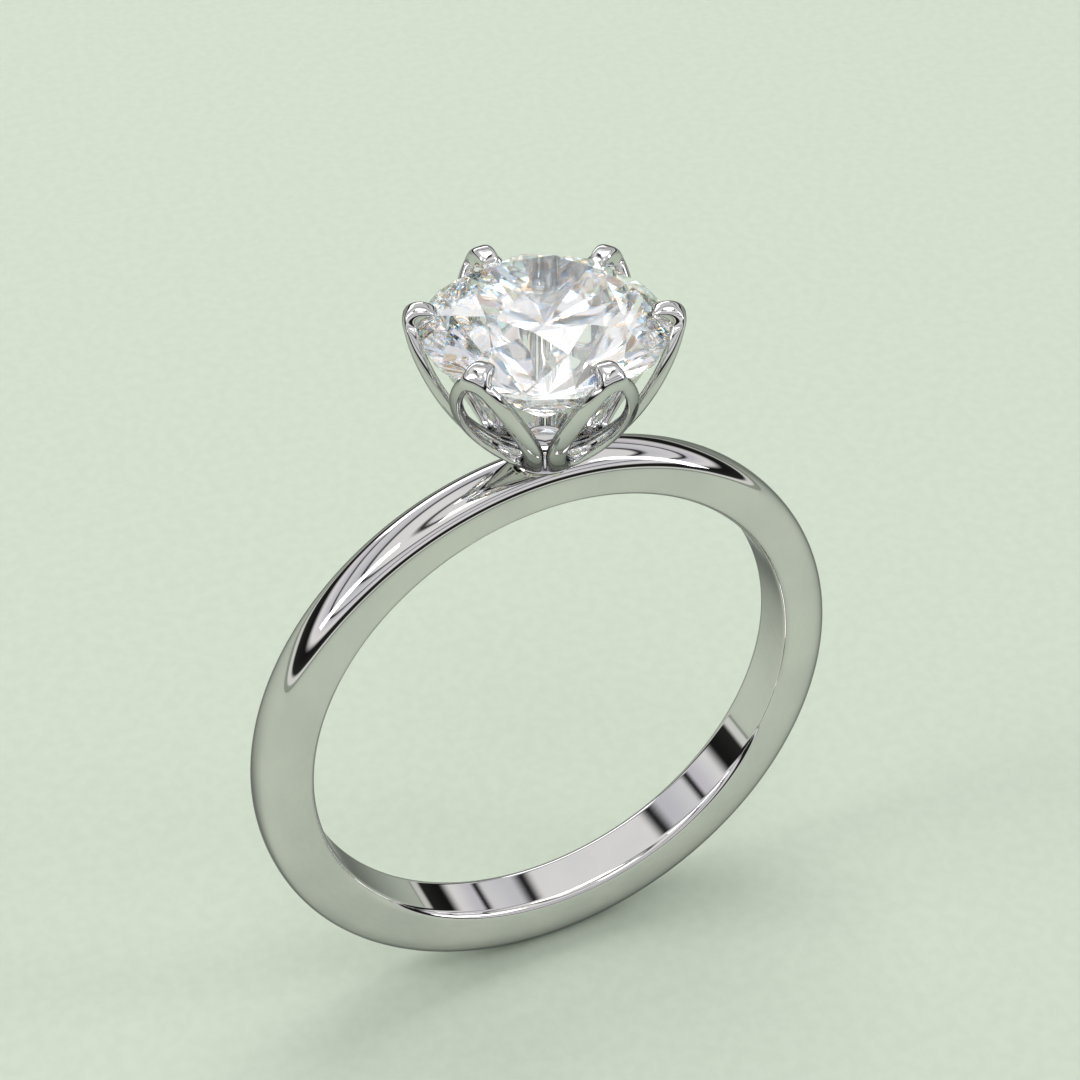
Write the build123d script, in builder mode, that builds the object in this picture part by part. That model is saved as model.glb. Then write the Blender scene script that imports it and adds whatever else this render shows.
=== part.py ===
from build123d import *
import os
from math import asin, atan2, cos, degrees, hypot, radians, sin, tan

# Engagement ring: a slim comfort-fit band, a six-petal tulip head on a peg, and a round brilliant.
# Millimetres.  The finger passes along Y, the head points up +Z, and the origin is the centre of
# the finger bore.

# ---- driving dimensions: band ----
finger_radius = 8.46          # inside radius, US size 6 1/2
band_width = 1.95             # along the finger
top_thickness = 1.45          # under the head
bottom_thickness = 2.05       # at the palm side
crown_height = 1.25           # height of the rounded outer part of the section
shoulder_fullness = 0.74      # 0.55 gives a half ellipse, 1.0 a square shoulder
comfort_radius = 0.30         # rounding of the inner edges
comfort_sweep = 70.0          # degrees of that rounding

# ---- driving dimensions: stone ----
stone_diameter = 7.31
girdle_rise = 4.55            # middle of the girdle above the band's top
girdle_thickness = 0.20
table_ratio = 0.57            # table width over stone diameter
crown_angle = 34.5            # main facets, degrees from the girdle plane
pavilion_angle = 40.8
star_ratio = 0.5              # how far the star facets reach from table to girdle
lower_half_ratio = 0.8        # how far the lower halves reach from girdle to culet
stone_turn = 11.0             # degrees of the stone in its seat
main_count = 8                # main facets round the crown, and round the pavilion

# ---- driving dimensions: head ----
petal_count = 6
head_turn = 4.25              # degrees that the head stands turned on the band
foot_radius = 1.15            # outside of the petals' feet
foot_rise = 0.05              # feet above the band's top
bowl_radius = 8.3             # curve of a petal seen from its side
claw_reach = 0.44             # outside of a claw beyond the girdle, at its level
wire_width = 0.52             # across a petal's wire
wire_depth = 0.52             # from its outer face to its inner face
opening_half_width = 0.82
opening_bottom = 1.0          # along the petal from its foot
opening_top_gap = 0.35        # from the opening's upper tip to the girdle's level
leaf_low_pull = 0.21          # shares of a leaf's length where its sides are pulled out
leaf_high_pull = 0.74
web_top = 1.4                 # neighbouring petals stay joined this far up from their feet
tip_ratio = 1.25              # wire at the leaf's pointed tips over the wire at its middle
claw_width = 0.86
claw_rise = 0.28              # middle of the bead above the girdle
claw_round = 0.46             # radius of the bead, seen from its side
cup_inset = 0.225             # cup's root on the band stops short of the band's sides
cup_sink = 0.35               # cup's underside below the band's top, before the band cuts it
peg_radius = 0.45
peg_socket = 0.30             # how far the peg enters the cup
peg_recess = 0.05             # peg's lower end above the bore's wall
solder_reach = 0.35           # solder beyond the petals' feet, along the band
solder_inset = 0.15           # solder stops short of the band's sides

# ---- values that follow from them ----
half_width = band_width / 2
cup_radius = half_width - cup_inset
outer_radius = finger_radius + (top_thickness + bottom_thickness) / 2
outer_drop = (bottom_thickness - top_thickness) / 2
band_top = finger_radius + top_thickness
shoulder_radius = outer_radius - crown_height
flat_half_width = half_width - comfort_radius * sin(radians(comfort_sweep))

stone_radius = stone_diameter / 2
girdle_height = band_top + girdle_rise
girdle_top = girdle_height + girdle_thickness / 2
girdle_bottom = girdle_height - girdle_thickness / 2
table_radius = table_ratio * stone_radius
table_height = girdle_top + (stone_radius - table_radius) * tan(radians(crown_angle))
culet_height = girdle_bottom - stone_radius * tan(radians(pavilion_angle))

petal_pitch = 360.0 / petal_count
foot_height = band_top + foot_rise
rim_radius = stone_radius + claw_reach
rim_run = rim_radius - foot_radius
rim_climb = girdle_height - foot_height
chord = hypot(rim_run, rim_climb)
chord_angle = atan2(rim_climb, rim_run)
half_turn = asin(chord / 2 / bowl_radius)
foot_angle = chord_angle - half_turn       # slope of the petal at its foot
rim_angle = chord_angle + half_turn        # slope of the petal at the girdle

opening_top = chord - opening_top_gap
tip = wire_width * tip_ratio
claw_lean = 90.0 - degrees(rim_angle)      # what the claw turns to stand upright at its bead
claw_bend = claw_rise / sin(radians(claw_lean))
solder_radius = foot_radius + solder_reach


def meridian(azimuth: float) -> Plane:
    """Upright plane through the head's axis: local x points outwards, local y points up."""
    turn = radians(azimuth)
    return Plane((0, 0, 0), x_dir=(cos(turn), sin(turn), 0), z_dir=(sin(turn), -cos(turn), 0))


def around(radius: float, azimuth: float, height: float) -> Vector:
    """Point at a radius, an azimuth in degrees and a height about the head's axis."""
    turn = radians(azimuth + stone_turn)
    return Vector(radius * cos(turn), radius * sin(turn), height)


def facet(first: Vector, second: Vector, third: Vector) -> Plane:
    """Plane through three points of the stone, facing away from the stone's middle."""
    normal = (second - first).cross(third - first).normalized()
    outwards = first - Vector(0, 0, girdle_height)
    return Plane(first, z_dir=normal if normal.dot(outwards) > 0 else -normal)


# ---- band ----
with BuildPart() as band:
    with BuildSketch(Plane.YZ) as band_section:
        with BuildLine() as band_outline:
            Polyline(
                (half_width, shoulder_radius - outer_drop),
                (half_width, 0),
                (-half_width, 0),
                (-half_width, shoulder_radius - outer_drop),
            )
            for side in (1, -1):
                Bezier(
                    (side * half_width, shoulder_radius - outer_drop),
                    (side * half_width, shoulder_radius - outer_drop + shoulder_fullness * crown_height),
                    (side * half_width * shoulder_fullness, outer_radius - outer_drop),
                    (0, outer_radius - outer_drop),
                )
        make_face()
    revolve(axis=Axis((0, 0, -outer_drop), (0, 1, 0)))
    with BuildSketch(Plane.YZ) as bore_section:
        with BuildLine() as bore_outline:
            Line((-flat_half_width, finger_radius), (flat_half_width, finger_radius))
            for side in (1, -1):
                start = (side * flat_half_width, finger_radius)
                edge_round = JernArc(start, (side, 0), comfort_radius, side * comfort_sweep)
                lead_out = Line(edge_round @ 1, edge_round @ 1 + edge_round % 1)
                Line(lead_out @ 1, ((lead_out @ 1).X, 0))
            Line((-(lead_out @ 1).X, 0), ((lead_out @ 1).X, 0))
        make_face()
    revolve(axis=Axis.Y, mode=Mode.SUBTRACT)
    with BuildSketch(Plane.XY):
        Circle(peg_radius)
    extrude(amount=outer_radius, mode=Mode.SUBTRACT)

# ---- stone ----
with BuildPart() as diamond:
    with BuildSketch(Plane.XY.offset(culet_height)):
        Circle(stone_radius)
    extrude(amount=table_height - culet_height)
    main_step = 360.0 / main_count
    half_step = main_step / 2
    corner_ratio = cos(radians(half_step))
    star_radius = table_radius * corner_ratio * (1 - star_ratio) + stone_radius * star_ratio
    star_height = girdle_top + (stone_radius - star_radius * corner_ratio) * tan(radians(crown_angle))
    lower_radius = stone_radius * (1 - lower_half_ratio)
    lower_height = culet_height + lower_radius * corner_ratio * tan(radians(pavilion_angle))
    for main in range(main_count):
        middle = main * main_step
        crown_foot = around(stone_radius, middle, girdle_top)
        table_corner = around(table_radius, middle, table_height)
        star_point = around(star_radius, middle + half_step, star_height)
        last_star_point = around(star_radius, middle - half_step, star_height)
        next_corner = around(table_radius, middle + main_step, table_height)
        pavilion_foot = around(stone_radius, middle, girdle_bottom)
        culet = Vector(0, 0, culet_height)
        lower_point = around(lower_radius, middle + half_step, lower_height)
        last_lower_point = around(lower_radius, middle - half_step, lower_height)
        facets = [
            facet(crown_foot, star_point, last_star_point),
            facet(table_corner, next_corner, star_point),
            facet(crown_foot, star_point, around(stone_radius, middle + half_step, girdle_top)),
            facet(crown_foot, last_star_point, around(stone_radius, middle - half_step, girdle_top)),
            facet(culet, lower_point, last_lower_point),
            facet(pavilion_foot, lower_point, around(stone_radius, middle + half_step, girdle_bottom)),
            facet(pavilion_foot, last_lower_point, around(stone_radius, middle - half_step, girdle_bottom)),
        ]
        for cut in facets:
            split(bisect_by=cut, keep=Keep.BOTTOM)

# ---- one petal prong at azimuth 0, before its seat is cut ----
bowl_foot = (foot_radius, foot_height)
bowl_rim = (rim_radius, girdle_height)
inner_foot = (foot_radius - wire_depth * sin(foot_angle), foot_height + wire_depth * cos(foot_angle))
inner_rim = (rim_radius - wire_depth * sin(rim_angle), girdle_height + wire_depth * cos(rim_angle))
leaf_plane = Plane(
    (foot_radius, 0, foot_height),
    x_dir=(0, 1, 0),
    z_dir=(sin(chord_angle), 0, -cos(chord_angle)),
)


def leaf(half: float, bottom: float, top: float) -> None:
    """Draw a pointed leaf between two tips on the petal's middle line, fullest a little below its middle."""
    length = top - bottom
    handle = half / 0.75      # the middle of a cubic reaches three quarters of the way to its handles
    for side in (1, -1):
        Bezier(
            (0, bottom),
            (side * handle, bottom + leaf_low_pull * length),
            (side * handle, bottom + leaf_high_pull * length),
            (0, top),
        )


with BuildPart() as petal:
    with BuildSketch(meridian(-petal_pitch / 2)) as petal_side:
        with BuildLine():
            RadiusArc(bowl_foot, bowl_rim, -bowl_radius)
            upright = JernArc(bowl_rim, (cos(rim_angle), sin(rim_angle)), claw_bend, claw_lean)
            bead = JernArc(upright @ 1, (0, 1), claw_round, 180)
            Polyline(bead @ 1, ((bead @ 1).X, inner_rim[1]), inner_rim)
            RadiusArc(inner_foot, inner_rim, -(bowl_radius - wire_depth))
            Line(inner_foot, bowl_foot)
        make_face()
    revolve(axis=Axis.Z, revolution_arc=petal_pitch)
    with BuildSketch(leaf_plane) as petal_front:
        with BuildLine():
            leaf(opening_half_width + wire_width, opening_bottom - tip, opening_top + tip)
        make_face()
        Rectangle(stone_diameter, 2 * web_top)
        with Locations((0, opening_top)):
            Rectangle(claw_width, chord, align=(Align.CENTER, Align.MIN))
        with BuildLine():
            leaf(opening_half_width, opening_bottom, opening_top)
        make_face(mode=Mode.SUBTRACT)
    extrude(amount=stone_radius, both=True, mode=Mode.INTERSECT)
    with BuildSketch(Plane.XY.offset(girdle_height)) as beside_nose:
        with Locations(((bead @ 1).X + claw_width / 2, 0)):
            Rectangle(claw_width, 2 * claw_width, align=(Align.MAX, Align.CENTER))
            Circle(claw_width / 2, mode=Mode.SUBTRACT)
    extrude(amount=2 * claw_rise + claw_round, mode=Mode.SUBTRACT)

# ---- head: cup, peg and solder ----
with BuildPart() as cup:
    with BuildSketch(Plane.XZ):
        with BuildLine():
            Polyline(
                (0, band_top - cup_sink),
                (cup_radius, band_top - cup_sink),
                bowl_foot,
                inner_foot,
                (0, inner_foot[1]),
                close=True,
            )
        make_face()
    revolve(axis=Axis.Z)
    add(band.part, mode=Mode.SUBTRACT)
    with BuildSketch(Plane.XY.offset(finger_radius)):
        Circle(peg_radius)
    extrude(amount=top_thickness + peg_socket, mode=Mode.SUBTRACT)

with BuildPart() as peg:
    with BuildSketch(Plane.XY.offset(finger_radius + peg_recess)):
        Circle(peg_radius)
    extrude(amount=top_thickness + peg_socket - peg_recess)

with BuildPart() as solder:
    with BuildSketch(Plane.XZ):
        with BuildLine():
            Polyline(
                bowl_foot,
                (0, foot_height),
                (0, band_top - cup_sink),
                (solder_radius, band_top - cup_sink),
                (solder_radius, outer_radius * cos(asin(solder_radius / outer_radius)) - outer_drop),
            )
            RadiusArc(
                (solder_radius, outer_radius * cos(asin(solder_radius / outer_radius)) - outer_drop),
                bowl_foot,
                solder_reach,
            )
        make_face()
    revolve(axis=Axis.Z)
    with BuildSketch(Plane.XY.offset(finger_radius)):
        Ellipse(solder_radius, half_width - solder_inset)
    extrude(amount=2 * top_thickness, mode=Mode.INTERSECT)
    add(band.part, mode=Mode.SUBTRACT)
    add(cup.part, mode=Mode.SUBTRACT)
    with BuildSketch(Plane.XY.offset(finger_radius)):
        Circle(peg_radius)
    extrude(amount=top_thickness + peg_socket, mode=Mode.SUBTRACT)

# ---- the finished pieces, one file each ----
pieces = {
    "shank": band.part,
    "setting_peg": peg.part,
    "collet_cup": cup.part,
    "head_solder_joint": solder.part,
    "center_diamond": diamond.part,
}
for number in range(petal_count):
    azimuth = head_turn + (number + 0.5) * petal_pitch
    with BuildPart() as prong:
        add(petal.solid().rotate(Axis.Z, azimuth))
        add(diamond.solid(), mode=Mode.SUBTRACT)
    pieces[f"petal_prong_{number + 1}"] = prong.part

os.makedirs("parts", exist_ok=True)
for name, piece in pieces.items():
    piece.label = name
    export_step(piece, f"parts/{name}.step")
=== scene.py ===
"""Six-petal solitaire engagement ring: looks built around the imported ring.

The finger passes along Y, the head points up +Z and the origin is the middle of the finger bore.
Sizes are written in millimetres and turned to metres where a mesh is made.
"""
from __future__ import annotations

import logging
from dataclasses import dataclass, field
from enum import Enum, IntEnum
from math import asin, atan2, cos, hypot, pi, radians, sin, sqrt, tan, tau
from typing import Any, Mapping, Sequence

import bmesh
import bpy
from bmesh.types import BMEdge, BMLayerItem, BMVert, BMesh
from bpy.types import ID, Material, Mesh, Node, NodeSocket, NodeTree, Object
from mathutils import Matrix, Vector

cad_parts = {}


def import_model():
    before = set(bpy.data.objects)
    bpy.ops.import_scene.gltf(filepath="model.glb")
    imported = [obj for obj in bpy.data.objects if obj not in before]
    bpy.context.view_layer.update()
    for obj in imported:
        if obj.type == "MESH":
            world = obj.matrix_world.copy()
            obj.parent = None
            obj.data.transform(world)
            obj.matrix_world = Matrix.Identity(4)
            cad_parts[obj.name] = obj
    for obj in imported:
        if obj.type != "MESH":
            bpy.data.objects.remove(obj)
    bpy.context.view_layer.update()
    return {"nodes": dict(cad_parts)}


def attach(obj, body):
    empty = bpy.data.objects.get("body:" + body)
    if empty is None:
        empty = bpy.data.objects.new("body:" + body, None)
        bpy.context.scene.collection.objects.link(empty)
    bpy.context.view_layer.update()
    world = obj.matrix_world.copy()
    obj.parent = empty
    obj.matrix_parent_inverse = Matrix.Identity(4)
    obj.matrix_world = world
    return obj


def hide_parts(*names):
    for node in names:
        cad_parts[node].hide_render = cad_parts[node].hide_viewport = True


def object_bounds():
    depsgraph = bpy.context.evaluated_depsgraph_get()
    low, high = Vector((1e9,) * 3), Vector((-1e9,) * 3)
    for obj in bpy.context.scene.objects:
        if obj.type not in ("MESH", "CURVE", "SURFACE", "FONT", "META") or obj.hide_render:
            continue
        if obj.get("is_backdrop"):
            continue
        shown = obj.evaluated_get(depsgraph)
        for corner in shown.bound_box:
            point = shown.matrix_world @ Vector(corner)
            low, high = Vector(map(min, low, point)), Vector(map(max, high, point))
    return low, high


LOG = logging.getLogger("engagement_ring")
MM = 0.001                     # one millimetre in metres
BODY = "root"                  # a solitaire has no moving parts, so one body
TINY = 1e-6                    # lengths in millimetres below this count as nothing
AXIS_RADIUS = 0.001            # turned profiles start and end this near their axis
CROWN_HALVINGS = 30            # steps of the search for the band's crown
WEDGE_HALVINGS = 24            # steps of the search for a petal's side limit
BOWL_ROUNDS = 14               # rounds of the search for the bowl's surface
WELD = 1e-7                    # points nearer than this many metres are one


class Slot(Enum):
    """The record's material slots."""

    WHITE_GOLD = "polished_white_gold"
    SOLDER = "hard_solder"
    DIAMOND = "diamond"


class Corner(IntEnum):
    """The four corners of half a petal wire's section."""

    FRONT_INNER = 0            # outer face of the bowl, beside the petal's opening
    FRONT_OUTER = 1            # outer face of the bowl, away from the opening
    BACK_OUTER = 2             # face towards the stone, away from the opening
    BACK_INNER = 3             # face towards the stone, beside the opening


SIDES = (1, -1)                # a petal's two halves
Row = dict[tuple[Corner, int], BMVert]   # one section's points, by corner and side


def linear_colour(hex_code: str) -> tuple[float, float, float, float]:
    """Turn an sRGB hex colour to linear.

    Args:
        hex_code: Six hex digits with a leading hash.

    Returns:
        Red, green, blue and an alpha of one.
    """
    channels = [int(hex_code[start:start + 2], 16) / 255 for start in (1, 3, 5)]
    linear = [c / 12.92 if c <= 0.04045 else ((c + 0.055) / 1.055) ** 2.4 for c in channels]
    return linear[0], linear[1], linear[2], 1.0


def add_node(
    tree: NodeTree,
    kind: str,
    settings: Mapping[str, Any] | None = None,
    inputs: Mapping[str | int, Any] | None = None,
) -> Node:
    """Add a node with its settings and links.

    Args:
        tree: The node tree that gets the node.
        kind: The node's type name, without ShaderNode in front.
        settings: Properties set on the node.
        inputs: Socket names or numbers, each with a value or with the output that feeds it.

    Returns:
        The new node.
    """
    node = tree.nodes.new(f"ShaderNode{kind}")
    for name, value in (settings or {}).items():
        setattr(node, name, value)
    for name, value in (inputs or {}).items():
        if isinstance(value, NodeSocket):
            tree.links.new(value, node.inputs[name])
        else:
            node.inputs[name].default_value = value
    return node


def set_ramp(node: Node, stops: Sequence[tuple[float, str]]) -> None:
    """Give a colour ramp its stops, softly blended.

    Args:
        node: The ramp node.
        stops: Positions with their hex colours, in order.
    """
    ramp = node.color_ramp
    ramp.interpolation = "EASE"
    while len(ramp.elements) > 1:
        ramp.elements.remove(ramp.elements[-1])
    ramp.elements[0].position = stops[0][0]
    ramp.elements[0].color = linear_colour(stops[0][1])
    for position, hex_code in stops[1:]:
        ramp.elements.new(position).color = linear_colour(hex_code)


def scale_for(size_mm: float) -> float:
    """Texture scale whose features are about this many millimetres across."""
    return 1 / (size_mm * MM)


def new_material(name: str) -> tuple[Material, NodeTree]:
    """Make an empty node material.

    Args:
        name: The material's name.

    Returns:
        The material and its cleared node tree.
    """
    material = bpy.data.materials.new(name)
    material.use_nodes = True
    material.node_tree.nodes.clear()
    return material, material.node_tree


@dataclass(frozen=True)
class PolishedMetal:
    """Cast and hand-polished precious metal: bright streaks, dark rims and a trace of hand work."""

    name: str
    light: str                 # colour where the polish is freshest
    deep: str                  # colour of the softly varied patches
    roughness_low: float
    roughness_high: float
    edge: str = "#8E8E90"      # near grazing, where white gold dims before it turns bright
    tint_mm: float = 2.6       # patches of tint
    hairline_mm: float = 0.11  # real hairlines are near 0.01 mm; drawn coarser so that they show
    hairline_stretch: float = 0.06
    mandrel_mm: float = 9.0    # hairlines are laid out on a circle of about this radius
    ripple_mm: float = 1.6     # long soft waves left by the felt wheel
    hairline_height_mm: float = 0.0002
    ripple_height_mm: float = 0.0005

    def build(self) -> Material:
        """Build the material.

        Returns:
            A metal with tint patches, hairlines along the work and slight ripples.
        """
        material, tree = new_material(self.name)
        place = add_node(tree, "TexCoord").outputs["Object"]
        tint = add_node(tree, "TexNoise", {}, {
            "Vector": place, "Scale": scale_for(self.tint_mm), "Detail": 3.0, "Roughness": 0.55})
        colour = add_node(tree, "ValToRGB", {}, {"Fac": tint.outputs["Fac"]})
        set_ramp(colour, [(0.30, self.deep), (0.70, self.light)])
        # Hairlines run round the finger bore, the way the ring turns on the polishing mandrel.
        axes = add_node(tree, "SeparateXYZ", {}, {"Vector": place})
        angle = add_node(tree, "Math", {"operation": "ARCTAN2"}, {
            0: axes.outputs["X"], 1: axes.outputs["Z"]})
        arc = add_node(tree, "Math", {"operation": "MULTIPLY"}, {
            0: angle.outputs[0], 1: self.mandrel_mm * MM * self.hairline_stretch})
        radius = add_node(tree, "VectorMath", {"operation": "LENGTH"}, {
            0: add_node(tree, "VectorMath", {"operation": "MULTIPLY"}, {
                0: place, 1: (1.0, 0.0, 1.0)}).outputs[0]})
        wound = add_node(tree, "CombineXYZ", {}, {
            "X": arc.outputs[0], "Y": axes.outputs["Y"], "Z": radius.outputs["Value"]})
        hairline = add_node(tree, "TexNoise", {}, {
            "Vector": wound.outputs[0], "Scale": scale_for(self.hairline_mm), "Detail": 5.0,
            "Roughness": 0.7})
        ripple = add_node(tree, "TexNoise", {}, {
            "Vector": place, "Scale": scale_for(self.ripple_mm), "Detail": 1.0})
        roughness = add_node(tree, "MapRange", {}, {
            "Value": hairline.outputs["Fac"], "From Min": 0.35, "From Max": 0.70,
            "To Min": self.roughness_low, "To Max": self.roughness_high})
        wave = add_node(tree, "Bump", {}, {
            "Height": ripple.outputs["Fac"], "Strength": 1.0,
            "Distance": self.ripple_height_mm * MM})
        scratched = add_node(tree, "Bump", {}, {
            "Height": hairline.outputs["Fac"], "Strength": 1.0,
            "Distance": self.hairline_height_mm * MM, "Normal": wave.outputs["Normal"]})
        shader = add_node(tree, "BsdfPrincipled", {}, {
            "Base Color": colour.outputs["Color"], "Metallic": 1.0,
            "Specular Tint": linear_colour(self.edge),
            "Roughness": roughness.outputs["Result"], "Normal": scratched.outputs["Normal"]})
        add_node(tree, "OutputMaterial", {}, {"Surface": shader.outputs["BSDF"]})
        return material


class FacetZone(Enum):
    """Parts of the stone that are polished differently or split light differently."""

    CROWN = 0
    GIRDLE = 1
    PAVILION = 2


@dataclass(frozen=True)
class CutDiamond:
    """Colourless diamond: white and grey facets with sparks of warm and cool fire."""

    name: str = "brilliant_cut_diamond"
    refraction: float = 2.417
    fire_spread: float = 0.045     # how far warm and cool light part; drawn stronger than real
    warm: tuple[float, float, float] = (1.35, 1.0, 0.65)
    cool: tuple[float, float, float] = (0.65, 1.0, 1.35)
    girdle_roughness: float = 0.22
    facet_mm: float = 1.1
    facet_polish: float = 0.004

    def build(self, zone: FacetZone) -> Material:
        """Build one zone's material.

        Args:
            zone: The part of the stone.

        Returns:
            A clear, strongly refracting glass; the crown splits warm light from cool.
        """
        material, tree = new_material(f"{self.name}_{zone.name.lower()}")
        place = add_node(tree, "TexCoord").outputs["Object"]
        # Polish lines from the scaife leave some facets a touch softer than others.
        polish = add_node(tree, "TexNoise", {}, {
            "Vector": place, "Scale": scale_for(self.facet_mm), "Detail": 1.0})
        roughness = add_node(tree, "MapRange", {}, {
            "Value": polish.outputs["Fac"], "From Min": 0.4, "From Max": 0.8,
            "To Min": 0.0, "To Max": self.facet_polish}).outputs["Result"]
        if zone is FacetZone.GIRDLE:
            roughness = self.girdle_roughness
        if zone is FacetZone.CROWN:
            warm, cool = (add_node(tree, "BsdfGlass", {}, {
                "Color": (*tint, 1.0), "Roughness": roughness,
                "IOR": self.refraction + side * self.fire_spread}).outputs["BSDF"]
                for tint, side in ((self.warm, -1), (self.cool, 1)))
            surface = add_node(tree, "MixShader", {}, {
                0: 0.5, 1: warm, 2: cool}).outputs[0]
        else:
            surface = add_node(tree, "BsdfGlass", {}, {
                "Color": (1.0, 1.0, 1.0, 1.0), "Roughness": roughness,
                "IOR": self.refraction}).outputs["BSDF"]
        add_node(tree, "OutputMaterial", {}, {"Surface": surface})
        return material


@dataclass(frozen=True)
class StudioPaper:
    """Matt paper under the ring: a plain pale ground that takes soft shadows."""

    name: str = "matt_studio_paper"
    light: str = "#C5D0BF"
    deep: str = "#C1CCBB"
    roughness: float = 0.85
    fibre_mm: float = 0.5

    def build(self) -> Material:
        """Build the material.

        Returns:
            A pale matt paper with a faint fibre mottle.
        """
        material, tree = new_material(self.name)
        place = add_node(tree, "TexCoord").outputs["Object"]
        mottle = add_node(tree, "TexNoise", {}, {
            "Vector": place, "Scale": scale_for(self.fibre_mm), "Detail": 4.0})
        colour = add_node(tree, "ValToRGB", {}, {"Fac": mottle.outputs["Fac"]})
        set_ramp(colour, [(0.3, self.deep), (0.7, self.light)])
        shader = add_node(tree, "BsdfPrincipled", {}, {
            "Base Color": colour.outputs["Color"], "Roughness": self.roughness})
        add_node(tree, "OutputMaterial", {}, {"Surface": shader.outputs["BSDF"]})
        return material


def bezier(points: Sequence[Vector], along: float) -> Vector:
    """Point on a cubic Bezier curve.

    Args:
        points: Its four control points.
        along: From 0 at the first to 1 at the last.

    Returns:
        The point.
    """
    back = 1 - along
    weights = (back ** 3, 3 * back ** 2 * along, 3 * back * along ** 2, along ** 3)
    return sum((p * w for p, w in zip(points, weights)), Vector([0.0] * len(points[0])))


def mesh_from_rings(name: str, rings: Sequence[Sequence[Vector]], around: bool) -> Mesh:
    """Join rings of points to a closed skin.

    Args:
        name: The mesh's name.
        rings: Equal rings of points in millimetres.
        around: Join the last ring to the first; otherwise both ends get a cap.

    Returns:
        The mesh, in metres, with its faces pointing outwards.
    """
    count = len(rings[0])
    vertices = [point * MM for ring in rings for point in ring]
    steps = len(rings) if around else len(rings) - 1
    faces = [
        [row * count + column, row * count + (column + 1) % count,
         (row + 1) % len(rings) * count + (column + 1) % count,
         (row + 1) % len(rings) * count + column]
        for row in range(steps) for column in range(count)
    ]
    if not around:
        faces.append(list(range(count))[::-1])
        faces.append([(len(rings) - 1) * count + column for column in range(count)])
    mesh = bpy.data.meshes.new(name)
    mesh.from_pydata(vertices, [], faces)
    work = bmesh.new()
    work.from_mesh(mesh)
    bmesh.ops.recalc_face_normals(work, faces=work.faces)
    work.to_mesh(mesh)
    work.free()
    return mesh


def lathe(name: str, profile: Sequence[tuple[float, float]], segments: int = 96) -> Mesh:
    """Turn a profile about the head's axis.

    Args:
        name: The mesh's name.
        profile: Radii and heights in millimetres, from one end of the axis to the other.
        segments: Steps around.

    Returns:
        The closed mesh.
    """
    rings = []
    for radius, height in profile:
        rings.append([
            Vector((radius * cos(turn), radius * sin(turn), height))
            for turn in (tau * step / segments for step in range(segments))
        ])
    return mesh_from_rings(name, rings, around=False)


def direction(azimuth: float, elevation: float) -> Vector:
    """Point away from the ring.

    Args:
        azimuth: Degrees from -Y towards +X.
        elevation: Degrees above the floor.

    Returns:
        A vector of length one.
    """
    side, lift = radians(azimuth), radians(elevation)
    return Vector((sin(side) * cos(lift), -cos(side) * cos(lift), sin(lift)))


def place_object(name: str, data: ID) -> Object:
    """Link a mesh, light or camera to the scene as an object at the origin.

    Args:
        name: The object's name.
        data: What it shows.

    Returns:
        The object.
    """
    piece = bpy.data.objects.new(name, data)
    bpy.context.scene.collection.objects.link(piece)
    return piece


def settle_modifiers(piece: Object) -> None:
    """Turn an object's modifiers into its mesh.

    Args:
        piece: The object, which is left without modifiers.
    """
    graph = bpy.context.evaluated_depsgraph_get()
    graph.update()
    mesh = bpy.data.meshes.new_from_object(piece.evaluated_get(graph), depsgraph=graph)
    piece.modifiers.clear()
    piece.data = mesh


def carve(piece: Object, cutter: Object) -> None:
    """Take one solid out of another.

    Args:
        piece: The solid that is cut.
        cutter: The solid that is taken away.
    """
    cut = piece.modifiers.new("cut", "BOOLEAN")
    cut.operation = "DIFFERENCE"
    cut.solver = "EXACT"
    cut.object = cutter
    settle_modifiers(piece)


def shade(mesh: Mesh, crease_degrees: float) -> None:
    """Smooth a mesh apart from its sharp edges.

    Args:
        mesh: The mesh.
        crease_degrees: Edges that turn by more than this stay sharp.
    """
    mesh.shade_smooth()
    mesh.set_sharp_from_angle(angle=radians(crease_degrees))


def hand_over(
    piece: Object, node: str, materials: Sequence[Material]
) -> Object:
    """Dress a finished piece and let it stand for its CAD node.

    Args:
        piece: The finished object.
        node: The CAD node that it stands for.
        materials: Its materials, in slot order.

    Returns:
        The same object.
    """
    for material in materials:
        piece.data.materials.append(material)
    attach(piece, BODY)
    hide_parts(node)
    LOG.info("%s stands for %s: %d faces", piece.name, node, len(piece.data.polygons))
    return piece


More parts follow.
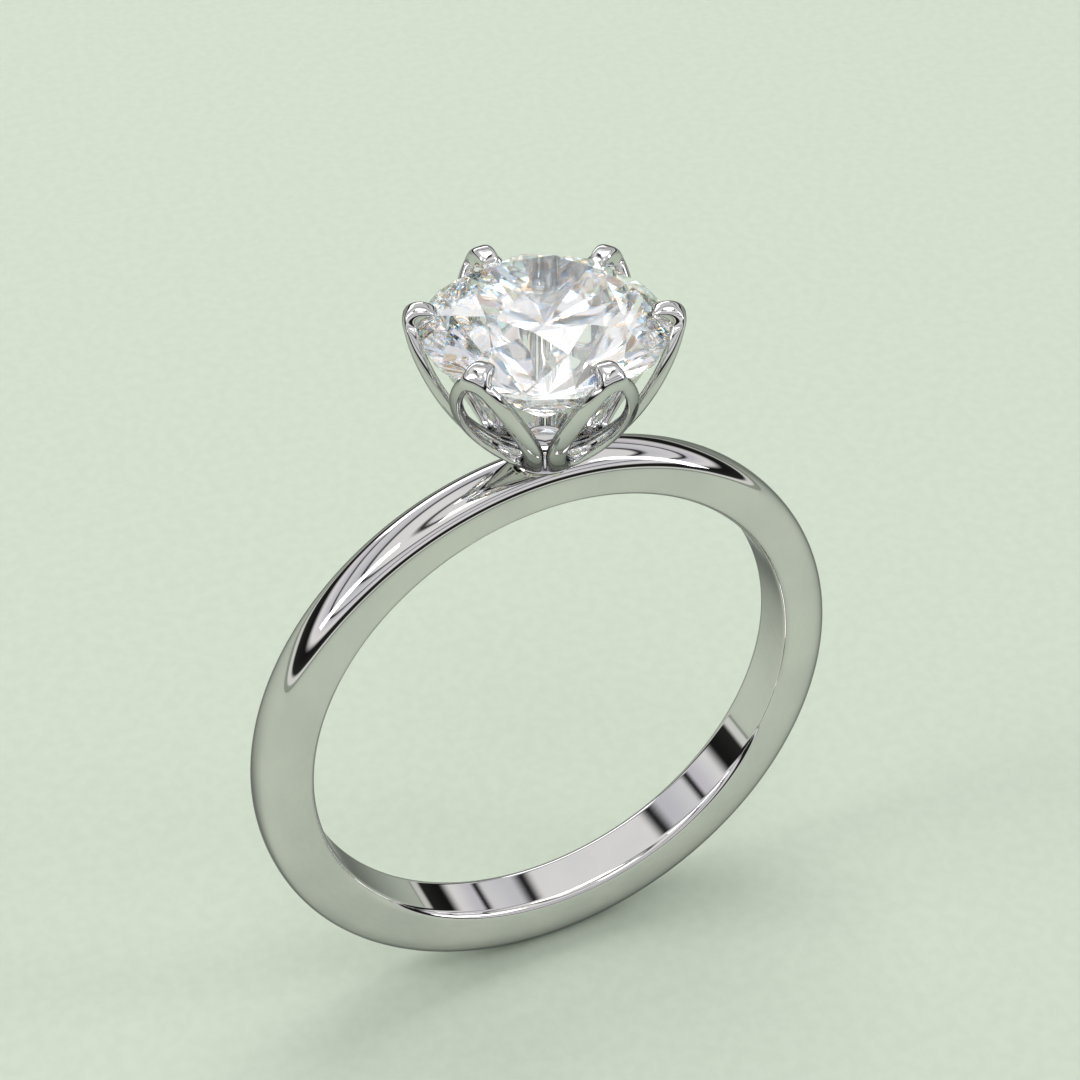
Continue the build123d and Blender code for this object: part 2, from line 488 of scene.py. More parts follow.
@dataclass
class Band:
    """Comfort-fit shank with a rounded crown, slimmer under the head than at the palm."""

    finger_radius: float = 8.46
    width: float = 1.95
    top_thickness: float = 1.45
    bottom_thickness: float = 2.05
    crown_height: float = 1.25
    shoulder_fullness: float = 0.74
    comfort_radius: float = 0.30
    comfort_sweep: float = 70.0
    edge_ease: float = 0.055   # the last polish takes this much off the inner edges
    # The eased edge in shares of that: inwards from the side face, and up from the sharp edge.
    ease_path: tuple[tuple[float, float], ...] = ((0.0, 1.0), (0.10, 0.35), (0.15, -0.10))
    arc_share: float = 0.93    # the comfort arc starts a little inside the eased edge
    flat_margin: float = 0.02  # keeps the shading of the flat bore wall straight
    peg_radius: float = 0.45
    drill_overrun: float = 1.0
    segments: int = 400
    crown_steps: int = 18
    comfort_steps: int = 12
    crease: float = 32.0       # degrees; sharper edges stay crisp

    @property
    def outer_radius(self) -> float:
        """Radius of the band's outer circle."""
        return self.finger_radius + (self.top_thickness + self.bottom_thickness) / 2

    @property
    def outer_drop(self) -> float:
        """How far the outer circle's centre lies below the bore's."""
        return (self.bottom_thickness - self.top_thickness) / 2

    @property
    def top(self) -> float:
        """Height of the band's outer surface under the head."""
        return self.outer_radius - self.outer_drop

    def crown_radius(self, across: float) -> float:
        """Outer radius at a distance from the band's middle.

        Args:
            across: Distance along the finger, in millimetres.

        Returns:
            The radius about the outer circle's centre.
        """
        low, high = 0.0, 1.0
        for _ in range(CROWN_HALVINGS):
            middle = (low + high) / 2
            if bezier(self._crown_curve(), middle)[0] > abs(across):
                low = middle
            else:
                high = middle
        return bezier(self._crown_curve(), low)[1]

    def surface_height(self, x: float, y: float) -> float:
        """Height of the outer surface above a point near the head."""
        return sqrt(self.crown_radius(y) ** 2 - x * x) - self.outer_drop

    def _crown_curve(self) -> list[Vector]:
        """Lay out half the crown.

        Returns:
            Control points from the side face to the middle.
        """
        half = self.width / 2
        shoulder = self.outer_radius - self.crown_height
        return [
            Vector((half, shoulder)),
            Vector((half, shoulder + self.shoulder_fullness * self.crown_height)),
            Vector((half * self.shoulder_fullness, self.outer_radius)),
            Vector((0.0, self.outer_radius)),
        ]

    def _outer_half(self) -> list[Vector]:
        """Half of the outer section, from the side face to the middle."""
        curve = self._crown_curve()
        return [bezier(curve, step / self.crown_steps) for step in range(self.crown_steps + 1)]

    def _inner_half(self) -> list[Vector]:
        """Lay out half of the bore's section.

        Returns:
            Points from the side face to the middle.
        """
        half = self.width / 2
        sweep = radians(self.comfort_sweep)
        flat = half - self.comfort_radius * sin(sweep)
        edge = self.finger_radius + self.comfort_radius * (1 - cos(sweep))
        points = [
            Vector((half - inwards * self.edge_ease, edge + upwards * self.edge_ease))
            for inwards, upwards in self.ease_path
        ]
        for step in range(1, self.comfort_steps + 1):
            turn = sweep * (1 - step / self.comfort_steps) * self.arc_share
            points.append(Vector((
                flat + self.comfort_radius * sin(turn),
                self.finger_radius + self.comfort_radius * (1 - cos(turn)))))
        for across in (flat - self.flat_margin, flat / 2, 0.0):
            points.append(Vector((across, self.finger_radius)))
        return points

    def build_mesh(self) -> Mesh:
        """Sweep the section round the finger.

        Returns:
            The closed band without its peg hole.
        """
        outer, inner = self._outer_half(), self._inner_half()
        rings = []
        for step in range(self.segments):
            turn = tau * step / self.segments
            up, along = cos(turn), sin(turn)
            ring = []
            for side, points in ((1, outer), (-1, outer[-2::-1])):
                ring += [
                    Vector((p[1] * along, side * p[0], p[1] * up - self.outer_drop))
                    for p in points]
            for side, points in ((-1, inner), (1, inner[-2::-1])):
                ring += [Vector((p[1] * along, side * p[0], p[1] * up)) for p in points]
            rings.append(ring)
        return mesh_from_rings("comfort_fit_band", rings, around=True)

    def build(self, metal: Material) -> Object:
        """Build the band with the hole for the head's peg.

        Args:
            metal: Its polished metal.

        Returns:
            The finished band.
        """
        band = place_object("comfort_fit_band", self.build_mesh())
        hole = place_object("peg_hole", lathe("peg_hole", [
            (self.peg_radius, self.finger_radius / 2),
            (self.peg_radius, self.top + self.drill_overrun)]))
        carve(band, hole)
        bpy.data.objects.remove(hole)
        shade(band.data, self.crease)
        return hand_over(band, "shank", [metal])


@dataclass
class Brilliant:
    """Round brilliant: table, 32 crown facets, girdle and 24 pavilion facets."""

    diameter: float = 7.31
    girdle_height: float = 14.46
    girdle_thickness: float = 0.20
    table_ratio: float = 0.57
    crown_angle: float = 34.5
    pavilion_angle: float = 40.8
    star_ratio: float = 0.5
    lower_half_ratio: float = 0.8
    turn: float = 11.0
    mains: int = 8
    girdle_segments: int = 128
    girdle_rise: float = 0.05      # faces whose normals rise or fall less than this are girdle
    cutter_ease: float = 1.0025    # the seat's size over the stone's, so they share no face

    @property
    def radius(self) -> float:
        """Half the stone's diameter."""
        return self.diameter / 2

    @property
    def girdle_top(self) -> float:
        """Height of the girdle's upper edge."""
        return self.girdle_height + self.girdle_thickness / 2

    @property
    def girdle_bottom(self) -> float:
        """Height of the girdle's lower edge."""
        return self.girdle_height - self.girdle_thickness / 2

    @property
    def table_height(self) -> float:
        """Height of the table."""
        rise = tan(radians(self.crown_angle))
        return self.girdle_top + self.radius * (1 - self.table_ratio) * rise

    @property
    def culet_height(self) -> float:
        """Height of the culet."""
        return self.girdle_bottom - self.radius * tan(radians(self.pavilion_angle))

    def around(self, radius: float, azimuth: float, height: float) -> Vector:
        """Point about the stone's axis, counted from its first main facet."""
        turn = radians(azimuth + self.turn)
        return Vector((radius * cos(turn), radius * sin(turn), height))

    def facet_corners(self) -> list[tuple[Vector, Vector, Vector]]:
        """Lay out every facet apart from the table.

        Returns:
            Three points on each facet's plane.
        """
        step = 360.0 / self.mains
        half = step / 2
        reach = cos(radians(half))
        table = self.table_ratio * self.radius
        star = table * reach * (1 - self.star_ratio) + self.radius * self.star_ratio
        crown_slope = tan(radians(self.crown_angle))
        star_height = self.girdle_top + (self.radius - star * reach) * crown_slope
        lower = self.radius * (1 - self.lower_half_ratio)
        pavilion_slope = tan(radians(self.pavilion_angle))
        lower_height = self.culet_height + lower * reach * pavilion_slope
        culet = Vector((0.0, 0.0, self.culet_height))
        corners = []
        for main in range(self.mains):
            middle = main * step
            foot = self.around(self.radius, middle, self.girdle_top)
            under = self.around(self.radius, middle, self.girdle_bottom)
            for side in (half, -half):
                star_point = self.around(star, middle + side, star_height)
                lower_point = self.around(lower, middle + side, lower_height)
                beside = self.around(self.radius, middle + side, self.girdle_top)
                beside_under = self.around(self.radius, middle + side, self.girdle_bottom)
                corners.append((foot, star_point, beside))
                corners.append((under, lower_point, beside_under))
            corners.append((foot, self.around(star, middle + half, star_height),
                            self.around(star, middle - half, star_height)))
            corners.append((self.around(table, middle, self.table_height),
                            self.around(table, middle + step, self.table_height),
                            self.around(star, middle + half, star_height)))
            corners.append((culet, self.around(lower, middle + half, lower_height),
                            self.around(lower, middle - half, lower_height)))
        return corners

    def build_mesh(self) -> Mesh:
        """Cut the facets out of a blank, as a cutter does.

        Returns:
            The closed stone.
        """
        blank = lathe("round_brilliant", [
            (self.radius, self.culet_height), (self.radius, self.table_height)],
            self.girdle_segments)
        work = bmesh.new()
        work.from_mesh(blank)
        middle = Vector((0.0, 0.0, self.girdle_height)) * MM
        for first, second, third in self.facet_corners():
            normal = (second - first).cross(third - first).normalized()
            point = first * MM
            if normal.dot(point - middle) < 0:
                normal.negate()
            cut = bmesh.ops.bisect_plane(
                work, geom=[*work.verts, *work.edges, *work.faces], dist=WELD / 10,
                plane_co=point, plane_no=normal, clear_outer=True)
            rim = [part for part in cut["geom_cut"] if isinstance(part, BMEdge)]
            open_rim = [edge for edge in rim if edge.is_valid and edge.is_boundary]
            if len(open_rim) > 2:
                bmesh.ops.edgenet_fill(work, edges=open_rim)
        bmesh.ops.remove_doubles(work, verts=work.verts, dist=WELD)
        bmesh.ops.recalc_face_normals(work, faces=work.faces)
        work.to_mesh(blank)
        work.free()
        return blank

    def build_cutter(self) -> Object:
        """Build the slightly larger stone that cuts the claws' seats.

        Returns:
            An object to cut with.
        """
        cutter = place_object("seat_cutter", self.build_mesh())
        middle = Vector((0.0, 0.0, self.girdle_height)) * MM
        cutter.data.transform(
            Matrix.Translation(middle) @ Matrix.Scale(self.cutter_ease, 4)
            @ Matrix.Translation(-middle))
        return cutter

    def build(self, zones: Sequence[Material]) -> Object:
        """Build the stone.

        Args:
            zones: Materials in the order of FacetZone.

        Returns:
            The finished stone.
        """
        stone = place_object("round_brilliant", self.build_mesh())
        stone.data.shade_flat()
        hand_over(stone, "center_diamond", zones)
        for face in stone.data.polygons:
            zone = FacetZone.CROWN if face.normal.z > 0 else FacetZone.PAVILION
            steep = abs(face.normal.z) < self.girdle_rise
            face.material_index = (FacetZone.GIRDLE if steep else zone).value
        return stone


@dataclass
class PetalHead:
    """Six leaf-shaped wire petals, each ending in a claw, on a cup with a peg."""

    band: Band
    stone: Brilliant
    petals: int = 6
    turn: float = 4.25
    foot_radius: float = 1.15
    foot_rise: float = 0.05
    bowl_radius: float = 8.3
    claw_reach: float = 0.44
    foot_depth: float = 0.60
    foot_skirt: float = 0.30       # the petals run this far down past their feet, onto the band
    wire_depth: float = 0.44
    foot_taper: float = 2.6        # the wire slims from the one to the other over this length
    back_inset: float = 0.09       # the wire's back is narrower than its front by this on each side
    back_start: float = 0.8        # above this the back's outer edge draws in as well
    web_climb: float = 0.88        # the web's outer edge climbs slower than its middle
    opening_half: float = 0.80
    opening_bottom: float = 1.0
    opening_top_rise: float = 0.12
    leaf_half: float = 1.40
    leaf_bottom: float = 0.35
    leaf_top_rise: float = 0.75
    leaf_pulls: tuple[float, float] = (0.21, 0.74)  # where along a leaf its sides are pulled out
    wire_shares: tuple[float, ...] = (0.10, 0.22, 0.35, 0.48, 0.61, 0.73, 0.84, 0.93, 1.0)
    full_share: float = 0.5        # the outer edge keeps the leaf's full width up to here
    slow_share: float = 0.75       # above this the outer edge climbs half as fast
    # A claw bends over the girdle: each section's outer and inner corner, seen from the rim at the
    # girdle's level, and its half width.
    claw_sections: tuple[tuple[tuple[float, float], tuple[float, float], float], ...] = (
        ((0.065, 0.37), (-0.54, 0.19), 0.49),
        ((-0.035, 0.62), (-0.62, 0.22), 0.42),
        ((-0.300, 0.79), (-0.70, 0.26), 0.37),
        ((-0.660, 0.78), (-0.83, 0.33), 0.34),
        ((-0.960, 0.62), (-1.00, 0.44), 0.25),
    )
    wedge_share: float = 0.992     # petals stop this share of the way to their neighbours
    creases: tuple[float, ...] = (0.18, 0.14, 0.10, 0.12)   # of the wire's edges, as in Corner
    crease_fade: float = 3.0       # the creases fade over this many sections below the claw
    subdivisions: int = 4
    cup_radius: float = 0.75
    cup_sink: float = 0.35
    # The cup's profile in three runs, each counted from a point of the head.
    cup_wall: tuple[tuple[float, float], ...] = ((0.02, -0.32), (0.14, -0.16))
    cup_rim: tuple[tuple[float, float], ...] = ((-0.03, -0.015), (0.0, 0.02))
    cup_dish: tuple[tuple[float, float], ...] = (
        (0.12, -0.11), (0.0, -0.02), (-0.06, 0.0), (-0.20, -0.05), (-0.42, -0.10))
    dish_depth: float = 0.12
    peg_socket: float = 0.30
    peg_recess: float = 0.05
    # The peg's filed end: inwards from its side and up from its face.
    peg_end: tuple[tuple[float, float], ...] = (
        (-0.18, 0.004), (-0.04, 0.012), (-0.01, 0.03), (0.0, 0.07))
    peg_chamfer: float = 0.05
    solder_reach: float = 0.14
    solder_inset: float = 0.13
    solder_sink: float = 0.12      # how far the fillet runs down into the band
    solder_skin: float = 0.01      # its feathered edge lies this far below the band's surface
    solder_top: float = 0.90       # where it ends on the feet, over their radius
    solder_waist: float = 0.78     # the least of that, across the narrow band
    solder_width: float = 0.97     # its upper edge over the half width of its foot, there
    solder_slope: float = 0.8      # its upper edge follows the feet down as it draws in
    solder_hollow: tuple[float, float] = (0.94, 0.10)  # how far in and up the fillet sags
    solder_root: float = 0.98      # its buried edge over the feathered one
    solder_core: float = 0.7       # its hidden upper end over its upper edge
    solder_segments: int = 144
    solder_steps: int = 12

    @property
    def foot_height(self) -> float:
        """Height of the petals' feet."""
        return self.band.top + self.foot_rise

    @property
    def rim_radius(self) -> float:
        """Outside of a claw at the girdle's level."""
        return self.stone.radius + self.claw_reach

    @property
    def chord_run(self) -> Vector:
        """From a petal's foot to its rim, outwards and upwards."""
        return Vector((
            self.rim_radius - self.foot_radius, self.stone.girdle_height - self.foot_height))

    def bowl_point(self, along: float, across: float, depth: float) -> Vector:
        """Point of a petal that lies at azimuth zero.

        Args:
            along: Distance from the foot along the petal's chord.
            across: Distance sideways from its middle line.
            depth: Distance inside the bowl's outer surface.

        Returns:
            The point, in millimetres.
        """
        chord = self.chord_run.length
        rise = self.chord_run / chord
        outwards = Vector((rise[1], -rise[0]))
        foot = Vector((self.foot_radius, self.foot_height))
        sag = sqrt(self.bowl_radius ** 2 - chord ** 2 / 4)
        centre = foot + self.chord_run / 2 - outwards * sag
        start = foot + rise * along
        shift = 0.0
        for _ in range(BOWL_ROUNDS):
            spot = start + outwards * shift
            radial = hypot(spot[0], across)
            reach = hypot(radial - centre[0], spot[1] - centre[1])
            shift -= reach - (self.bowl_radius - depth)
        spot = start + outwards * shift
        return Vector((spot[0], across, spot[1]))

    def corner(self, along: float, across: float, depth: float) -> Vector:
        """The same point, held inside the petal's own sixth of the head.

        Args:
            along: Distance from the foot along the petal's chord.
            across: Wanted distance sideways from its middle line.
            depth: Distance inside the bowl's outer surface.

        Returns:
            The point, in millimetres.
        """
        limit = tan(pi / self.petals * self.wedge_share)
        point = self.bowl_point(along, across, depth)
        if point[1] <= point[0] * limit:
            return point
        low, high = 0.0, across
        for _ in range(WEDGE_HALVINGS):
            middle = (low + high) / 2
            point = self.bowl_point(along, middle, depth)
            if point[1] > point[0] * limit:
                high = middle
            else:
                low = middle
        return point

    def leaf(self, half: float, bottom: float, top: float, share: float) -> tuple[float, float]:
        """Point on a pointed leaf's edge.

        Args:
            half: The leaf's half width.
            bottom: Its lower tip along the petal.
            top: Its upper tip.
            share: From 0 at the lower tip to 1 at the upper.

        Returns:
            Distances along and across the petal.
        """
        length = top - bottom
        handle = half * 4 / 3      # a curve reaches three quarters of the way to its handles
        low, high = self.leaf_pulls
        curve = [Vector((bottom, 0.0)), Vector((bottom + low * length, handle)),
                 Vector((bottom + high * length, handle)), Vector((top, 0.0))]
        point = bezier(curve, share)
        return point[0], point[1]

    def depth_at(self, along: float) -> float:
        """Depth of the wire: deepest at the foot and slimmer towards the claw."""
        share = max(0.0, min(1.0, along / self.foot_taper))
        return self.foot_depth + (self.wire_depth - self.foot_depth) * share

    def section(
        self, inner: tuple[float, float], outer: tuple[float, float]
    ) -> list[Vector]:
        """Section of half a petal's wire.

        Args:
            inner: Distances along and across the petal of its edge beside the opening.
            outer: The same of its edge away from the opening.

        Returns:
            Its corners, in the order of Corner.
        """
        inset = 0.0 if inner[1] < TINY else self.back_inset
        taper = min(1.0, max(0.0, outer[0] - self.back_start)) * self.back_inset
        return [
            self.bowl_point(inner[0], inner[1], 0.0),
            self.corner(outer[0], outer[1], 0.0),
            self.corner(outer[0], outer[1] - taper, self.depth_at(outer[0])),
            self.bowl_point(inner[0], inner[1] + inset, self.depth_at(inner[0])),
        ]

    def _web_stations(self) -> list[list[Vector]]:
        """Lay out the closed web at a petal's foot.

        Returns:
            Sections of half a petal from its foot to its opening's lower tip.
        """
        heights = (-self.foot_skirt, 0.0, self.opening_bottom / 2, self.opening_bottom)
        return [
            self.section((along, 0.0), (self.web_climb * along, self.leaf_half))
            for along in heights
        ]

    def _wire_stations(self) -> list[list[Vector]]:
        """Lay out the wire beside a petal's opening.

        Returns:
            Sections of half a petal from above the opening's lower tip to its upper tip.
        """
        chord = self.chord_run.length
        stations = []
        for share in self.wire_shares:
            inner = self.leaf(
                self.opening_half, self.opening_bottom, chord + self.opening_top_rise, share)
            slowed = self.slow_share + (share - self.slow_share) / 2
            outer = self.leaf(
                self.leaf_half, self.leaf_bottom, chord + self.leaf_top_rise,
                share if share < self.slow_share else slowed)
            if share < self.full_share:
                outer = (outer[0], self.leaf_half)
            stations.append(self.section(inner, outer))
        return stations

    def _claw_stations(self) -> list[list[Vector]]:
        """Lay out a claw.

        Returns:
            Sections of half a claw from above the opening to its nose over the stone.
        """
        rim, girdle = self.rim_radius, self.stone.girdle_height
        stations = []
        for (out_x, out_z), (in_x, in_z), half in self.claw_sections:
            stations.append([
                Vector((rim + out_x, 0.0, girdle + out_z)),
                Vector((rim + out_x, half, girdle + out_z)),
                Vector((rim + in_x, half, girdle + in_z)),
                Vector((rim + in_x, 0.0, girdle + in_z))])
        return stations

    def _add_points(
        self, work: BMesh, stations: Sequence[Sequence[Vector]], azimuth: float
    ) -> list[Row]:
        """Add the cage's points, mirrored to the petal's other half.

        Args:
            work: The mesh that gets them.
            stations: Sections of half a petal.
            azimuth: Where the petal stands about the head's axis, in degrees.

        Returns:
            Each section's points by corner and side; a point on the middle line serves both sides.
        """
        turn = Matrix.Rotation(radians(azimuth), 4, "Z")
        grid = []
        for station in stations:
            row: Row = {}
            for corner, point in zip(Corner, station):
                for side in SIDES:
                    if side < 0 and abs(point[1]) < TINY:
                        row[corner, side] = row[corner, 1]
                        continue
                    spot = Vector((point[0], side * point[1], point[2])) * MM
                    row[corner, side] = work.verts.new(turn @ spot)
            grid.append(row)
        return grid

    @staticmethod
    def _add_skin(work: BMesh, grid: Sequence[Row], opening: range) -> None:
        """Skin the cage between its sections and close both of its ends.

        Args:
            work: The mesh that gets the faces.
            grid: The cage's points.
            opening: The sections above which the opening's own wall runs.
        """
        round_wire = [
            (Corner.FRONT_INNER, Corner.FRONT_OUTER), (Corner.FRONT_OUTER, Corner.BACK_OUTER),
            (Corner.BACK_OUTER, Corner.BACK_INNER), (Corner.BACK_INNER, Corner.FRONT_INNER)]
        for index, (lower, upper) in enumerate(zip(grid, grid[1:])):
            spans = round_wire if index in opening else round_wire[:-1]
            for side in SIDES:
                for start, end in spans:
                    quad = [lower[start, side], lower[end, side],
                            upper[end, side], upper[start, side]]
                    corners = list(dict.fromkeys(quad[::side]))
                    if len(corners) > 2:
                        work.faces.new(corners)
        for row, facing in ((grid[0], -1), (grid[-1], 1)):
            for side in SIDES:
                cap = [row[corner, side] for corner in Corner]
                if side != facing:
                    cap[1:] = cap[:0:-1]
                work.faces.new(cap)

    def _add_creases(
        self, work: BMesh, grid: Sequence[Row], crease: BMLayerItem,
        claw_from: int,
    ) -> None:
        """Sharpen the wire's long edges, less and less towards the claw, and the foot's rim.

        Args:
            work: The mesh.
            grid: The cage's points.
            crease: The layer that holds the creases.
            claw_from: Number of the claw's first section.
        """
        for index, (lower, upper) in enumerate(zip(grid, grid[1:])):
            fade = max(0.0, min(1.0, (claw_from - index) / self.crease_fade))
            for side in SIDES:
                for corner, amount in zip(Corner, self.creases):
                    in_middle = all(row[corner, 1] is row[corner, -1] for row in (lower, upper))
                    edge = work.edges.get((lower[corner, side], upper[corner, side]))
                    if edge is not None and not in_middle:
                        edge[crease] = amount * fade
        for edge in work.edges:
            if all(vertex in grid[0].values() for vertex in edge.verts):
                edge[crease] = 1.0

    def build_petal_mesh(self, azimuth: float, name: str) -> Mesh:
        """Build one petal's cage.

        Args:
            azimuth: Where it stands about the head's axis, in degrees.
            name: The mesh's name.

        Returns:
            A closed cage whose long edges are part sharp.
        """
        web, wire = self._web_stations(), self._wire_stations()
        claw_from = len(web) + len(wire)
        work = bmesh.new()
        crease = work.edges.layers.float.new("crease_edge")
        grid = self._add_points(work, web + wire + self._claw_stations(), azimuth)
        self._add_skin(work, grid, range(len(web) - 1, claw_from - 1))
        self._add_creases(work, grid, crease, claw_from)
        bmesh.ops.recalc_face_normals(work, faces=work.faces)
        mesh = bpy.data.meshes.new(name)
        work.to_mesh(mesh)
        work.free()
        return mesh

    def build_petal(
        self, number: int, cutter: Object, metal: Material
    ) -> Object:
        """Build one petal with its claw and the seat cut in it.

        Args:
            number: From one to the number of petals.
            cutter: The stone-shaped cutter.
            metal: Its polished metal.

        Returns:
            The finished petal.
        """
        azimuth = self.turn + (number - 0.5) * 360.0 / self.petals
        name = f"petal_wire_{number}"
        petal = place_object(name, self.build_petal_mesh(azimuth, name))
        smooth = petal.modifiers.new("smooth", "SUBSURF")
        smooth.levels = smooth.render_levels = self.subdivisions
        settle_modifiers(petal)
        carve(petal, cutter)
        shade(petal.data, 30.0)
        return hand_over(petal, f"petal_prong_{number}", [metal])

    def build_cup(self, metal: Material) -> Object:
        """Build the cup that the petals' feet grow from.

        Args:
            metal: Its polished metal.

        Returns:
            The finished cup.
        """
        rise = self.chord_run / self.chord_run.length
        half_turn = asin(self.chord_run.length / 2 / self.bowl_radius)
        slope = atan2(rise[1], rise[0]) - half_turn
        inner = (self.foot_radius - self.foot_depth * sin(slope),
                 self.foot_height + self.foot_depth * cos(slope))
        underside = self.band.top - self.cup_sink
        profile = [(AXIS_RADIUS, underside), (self.cup_radius, underside)]
        for (radius, height), offsets in (
                ((self.cup_radius, self.foot_height), self.cup_wall),
                ((self.foot_radius, self.foot_height), self.cup_rim),
                (inner, self.cup_dish)):
            profile += [(radius + out, height + up) for out, up in offsets]
        profile.append((AXIS_RADIUS, inner[1] - self.dish_depth))
        cup = place_object("collet_dish", lathe("collet_dish", profile, 128))
        shade(cup.data, 40.0)
        return hand_over(cup, "collet_cup", [metal])

    def build_peg(self, metal: Material) -> Object:
        """Build the peg, its lower end filed flush with the bore and slightly domed.

        Args:
            metal: Its polished metal.

        Returns:
            The finished peg.
        """
        radius = self.band.peg_radius
        low = self.band.finger_radius + self.peg_recess
        high = self.band.top + self.peg_socket
        profile = [(AXIS_RADIUS, low)]
        profile += [(radius + out, low + up) for out, up in self.peg_end]
        profile += [(radius, high - self.peg_chamfer), (radius - self.peg_chamfer, high),
                    (AXIS_RADIUS, high)]
        peg = place_object("setting_post", lathe("setting_post", profile, 96))
        shade(peg.data, 35.0)
        return hand_over(peg, "setting_peg", [metal])

    def build_solder(self, metal: Material) -> Object:
        """Build the fillet of solder where the cup stands on the band.

        Args:
            metal: Its solder.

        Returns:
            The finished fillet.
        """
        long_half = self.foot_radius + self.solder_reach
        short_half = self.band.width / 2 - self.solder_inset
        inwards, upwards = self.solder_hollow
        rings: list[list[Vector]] = [[] for _ in range(self.solder_steps + 3)]
        for index in range(self.solder_segments):
            turn = tau * index / self.solder_segments
            foot_x, foot_y = long_half * cos(turn), short_half * sin(turn)
            surface = self.band.surface_height(foot_x, foot_y)
            foot = Vector((foot_x, foot_y, surface - self.solder_skin))
            across = max(abs(sin(turn)) * self.foot_radius, TINY)
            share_across = min(1.0, self.solder_width * short_half / across)
            top_radius = self.solder_top * self.foot_radius * max(share_across, self.solder_waist)
            top = Vector((
                top_radius * cos(turn), top_radius * sin(turn),
                self.foot_height - self.solder_slope * (self.foot_radius - top_radius)))
            hollow = Vector((
                top[0] * inwards, top[1] * inwards, foot[2] + upwards * (top[2] - foot[2])))
            rings[0].append(Vector((
                foot[0] * self.solder_root, foot[1] * self.solder_root,
                foot[2] - self.solder_sink)))
            for step in range(self.solder_steps + 1):
                share = step / self.solder_steps
                back = 1 - share
                rings[step + 1].append(
                    foot * back ** 2 + hollow * (2 * back * share) + top * share ** 2)
            rings[-1].append(Vector((
                top[0] * self.solder_core, top[1] * self.solder_core, top[2])))
        joint = place_object(
            "solder_fillet", mesh_from_rings("solder_fillet", rings, around=False))
        shade(joint.data, 50.0)
        return hand_over(joint, "head_solder_joint", [metal])


@dataclass
class Softbox:
    """One soft studio light."""

    name: str
    azimuth: float
    elevation: float
    distance: float
    width: float
    height: float
    radiance: float
    colour: str = "#FFFFFF"

    def build(self, aim: Vector) -> Object:
        """Hang the light and turn it to the ring.

        Args:
            aim: The point that it faces.

        Returns:
            The light.
        """
        lamp = bpy.data.lights.new(self.name, "AREA")
        lamp.shape = "RECTANGLE"
        lamp.size, lamp.size_y = self.width, self.height
        lamp.energy = self.radiance * pi * self.width * self.height
        lamp.color = linear_colour(self.colour)[:3]
        rig = place_object(self.name, lamp)
        away = direction(self.azimuth, self.elevation)
        rig.location = aim + away * self.distance
        rig.rotation_euler = away.to_track_quat("Z", "Y").to_euler()
        return rig


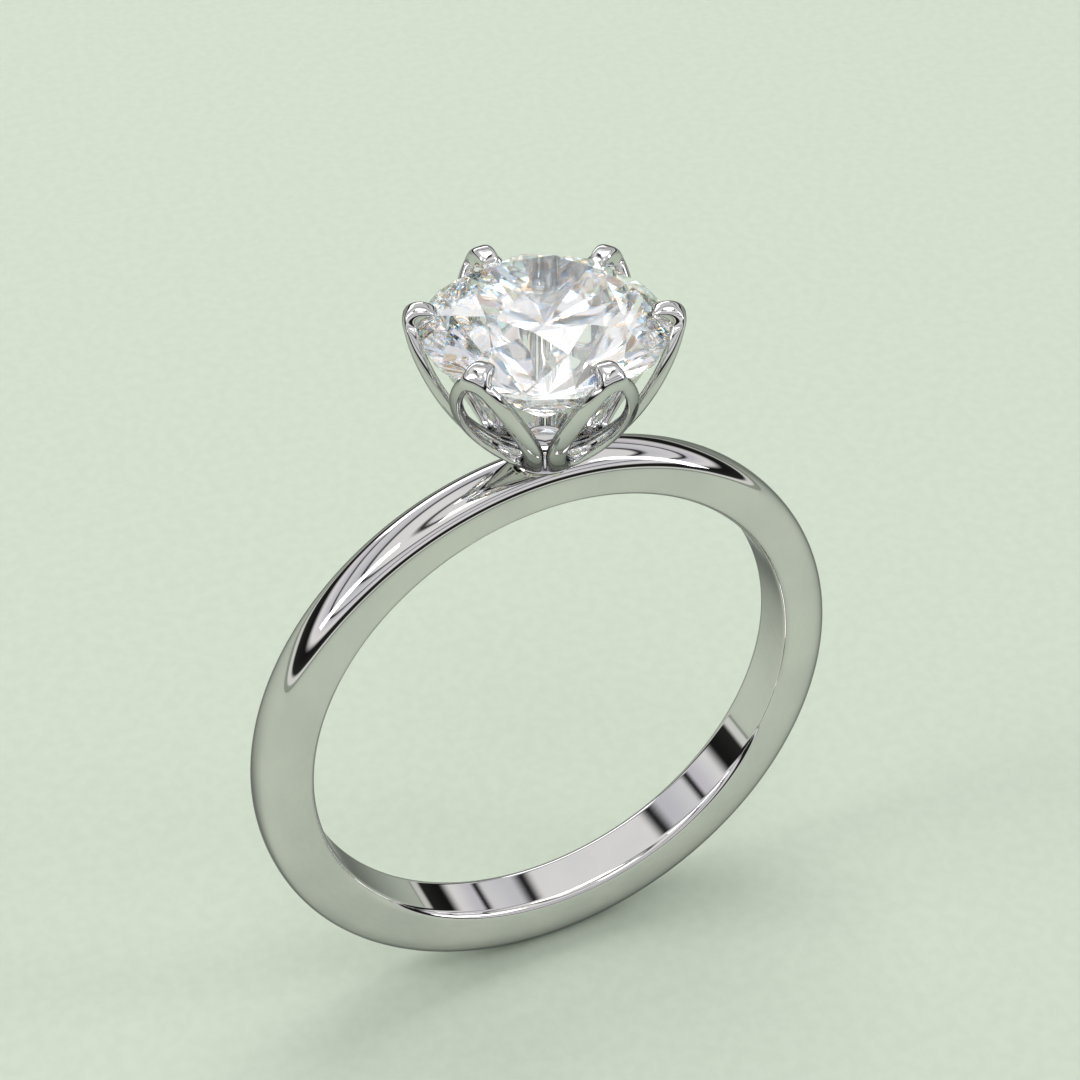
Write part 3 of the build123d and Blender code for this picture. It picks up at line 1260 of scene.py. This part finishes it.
@dataclass
class Studio:
    """Floor, lights and camera."""

    azimuth: float = -25.302
    elevation: float = 37.944
    roll: float = -0.507
    distance_mm: float = 78.533
    aim_mm: tuple[float, float, float] = (-0.163, 0.077, 6.578)
    lens: float = 84.126
    sensor: float = 36.0
    floor_radius: float = 0.33
    backdrop: str = "#CDD7C9"
    glow: float = 0.95
    # What metal and stone reflect, from straight down to straight up: dull ground, a bright
    # horizon, dark walls, and pale ceiling panels with dark gaps between them.
    room: tuple[tuple[float, str], ...] = (
        (0.0, "#9AA396"), (0.495, "#A4AEA0"), (0.503, "#F2F4EE"), (0.518, "#F2F4EE"),
        (0.535, "#2A2C29"), (0.60, "#1C1D1C"), (0.640, "#FFFFFF"), (0.70, "#E4E2EA"),
        (0.715, "#161618"), (0.735, "#F4F4F6"), (0.80, "#E2E2E8"), (0.825, "#1C1C1E"),
        (0.845, "#FFFFFF"), (0.93, "#FFFFFF"), (0.955, "#2E2E32"), (0.968, "#F4F4F6"),
        (1.0, "#FFFFFF"))
    stone_bounces: int = 32        # light turns many times in the stone before it comes out
    metal_bounces: int = 24
    paper_bounces: int = 3
    lights: list[Softbox] = field(default_factory=lambda: [
        Softbox("overhead_softbox", 150.0, 72.0, 0.34, 0.22, 0.16, 3.0, "#FFFDFA"),
        Softbox("left_softbox", -95.0, 38.0, 0.34, 0.08, 0.22, 4.0, "#FFFFFF"),
        Softbox("right_softbox", 60.0, 30.0, 0.36, 0.07, 0.26, 3.2, "#F7FAFF"),
        Softbox("back_softbox", 175.0, 22.0, 0.40, 0.34, 0.07, 2.6, "#FFFFFF"),
        Softbox("front_fill", -20.0, 66.0, 0.36, 0.12, 0.07, 2.4, "#FFFFFF"),
    ])

    def build_floor(self, paper: Material, height: float) -> Object:
        """Lay the paper at the ring's lowest point.

        Args:
            paper: Its material.
            height: Its height, in metres.

        Returns:
            The floor.
        """
        work = bmesh.new()
        bmesh.ops.create_circle(work, cap_ends=True, radius=self.floor_radius, segments=96)
        mesh = bpy.data.meshes.new("studio_floor")
        work.to_mesh(mesh)
        work.free()
        floor = place_object("studio_floor", mesh)
        floor.location.z = height
        mesh.materials.append(paper)
        floor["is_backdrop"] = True
        return floor

    def build_lights(self) -> None:
        """Hang the softboxes and set the room's dim glow."""
        aim = Vector(self.aim_mm) * MM
        for softbox in self.lights:
            softbox.build(aim)
        world = bpy.data.worlds.new("studio_room")
        bpy.context.scene.world = world
        world.use_nodes = True
        tree = world.node_tree
        tree.nodes.clear()
        facing = add_node(tree, "TexCoord").outputs["Generated"]
        axes = add_node(tree, "SeparateXYZ", {}, {"Vector": facing})
        level = add_node(tree, "MapRange", {}, {
            "Value": axes.outputs["Z"], "From Min": -1.0, "From Max": 1.0})
        glow = add_node(tree, "ValToRGB", {}, {"Fac": level.outputs["Result"]})
        set_ramp(glow, self.room)
        shine = add_node(tree, "Background", {}, {
            "Color": glow.outputs["Color"], "Strength": self.glow})
        # The room's bands are only for the metal to reflect; seen directly the backdrop is plain.
        backdrop = add_node(tree, "Background", {}, {
            "Color": linear_colour(self.backdrop), "Strength": 1.0})
        seen = add_node(tree, "LightPath").outputs["Is Camera Ray"]
        room = add_node(tree, "MixShader", {}, {
            0: seen, 1: shine.outputs["Background"], 2: backdrop.outputs["Background"]})
        add_node(tree, "OutputWorld", {}, {"Surface": room.outputs[0]})

    def build_camera(self) -> Object:
        """Set up the camera.

        Returns:
            The camera.
        """
        lens = bpy.data.cameras.new("studio_camera")
        lens.lens = self.lens
        lens.sensor_width = self.sensor
        lens.clip_start = MM
        lens.clip_end = 10.0
        camera = place_object("studio_camera", lens)
        away = direction(self.azimuth, self.elevation)
        camera.location = (Vector(self.aim_mm) + away * self.distance_mm) * MM
        level = away.to_track_quat("Z", "Y")
        roll = Matrix.Rotation(radians(self.roll), 3, "Z")
        camera.rotation_euler = (level.to_matrix() @ roll).to_euler()
        bpy.context.scene.camera = camera
        return camera

    def tune_render(self) -> None:
        """Give light enough bounces to come back out of the stone, and a plain view."""
        scene = bpy.context.scene
        scene.cycles.max_bounces = self.stone_bounces
        scene.cycles.transmission_bounces = self.stone_bounces
        scene.cycles.glossy_bounces = self.metal_bounces
        scene.cycles.diffuse_bounces = self.paper_bounces
        scene.view_settings.view_transform = "Standard"
        scene.view_settings.look = "None"


def main() -> None:
    """Build the ring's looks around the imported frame."""
    logging.basicConfig(level=logging.INFO, format="%(message)s")
    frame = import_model()
    LOG.info("the frame has %d nodes", len(frame["nodes"]))
    # Mirror polish on band and peg gives long crisp streaks.
    gold = PolishedMetal("polished_white_gold", "#DCDAD8", "#D3D2D2", 0.012, 0.040).build()
    # The cast wires are polished by hand: a shade greyer, with softer lights.
    wire_gold = PolishedMetal(
        "cast_white_gold", "#DAD9D7", "#D0D0D0", 0.018, 0.050, ripple_mm=0.6).build()
    # Solder has flowed and frozen: warmer and duller than the gold beside it.
    solder = PolishedMetal("white_gold_solder", "#D8D4CC", "#CBC8C2", 0.04, 0.10).build()
    diamond = CutDiamond()

    band = Band()
    stone = Brilliant()
    head = PetalHead(band, stone)
    band.build(gold)
    stone.build([diamond.build(zone) for zone in FacetZone])
    cutter = stone.build_cutter()
    for number in range(1, head.petals + 1):
        head.build_petal(number, cutter, wire_gold)
    bpy.data.objects.remove(cutter)
    head.build_cup(wire_gold)
    head.build_peg(gold)
    head.build_solder(solder)

    studio = Studio()
    studio.build_floor(StudioPaper().build(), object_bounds()[0][2])
    studio.build_lights()
    studio.build_camera()
    studio.tune_render()
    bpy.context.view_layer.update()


if __name__ == "__main__":
    main()
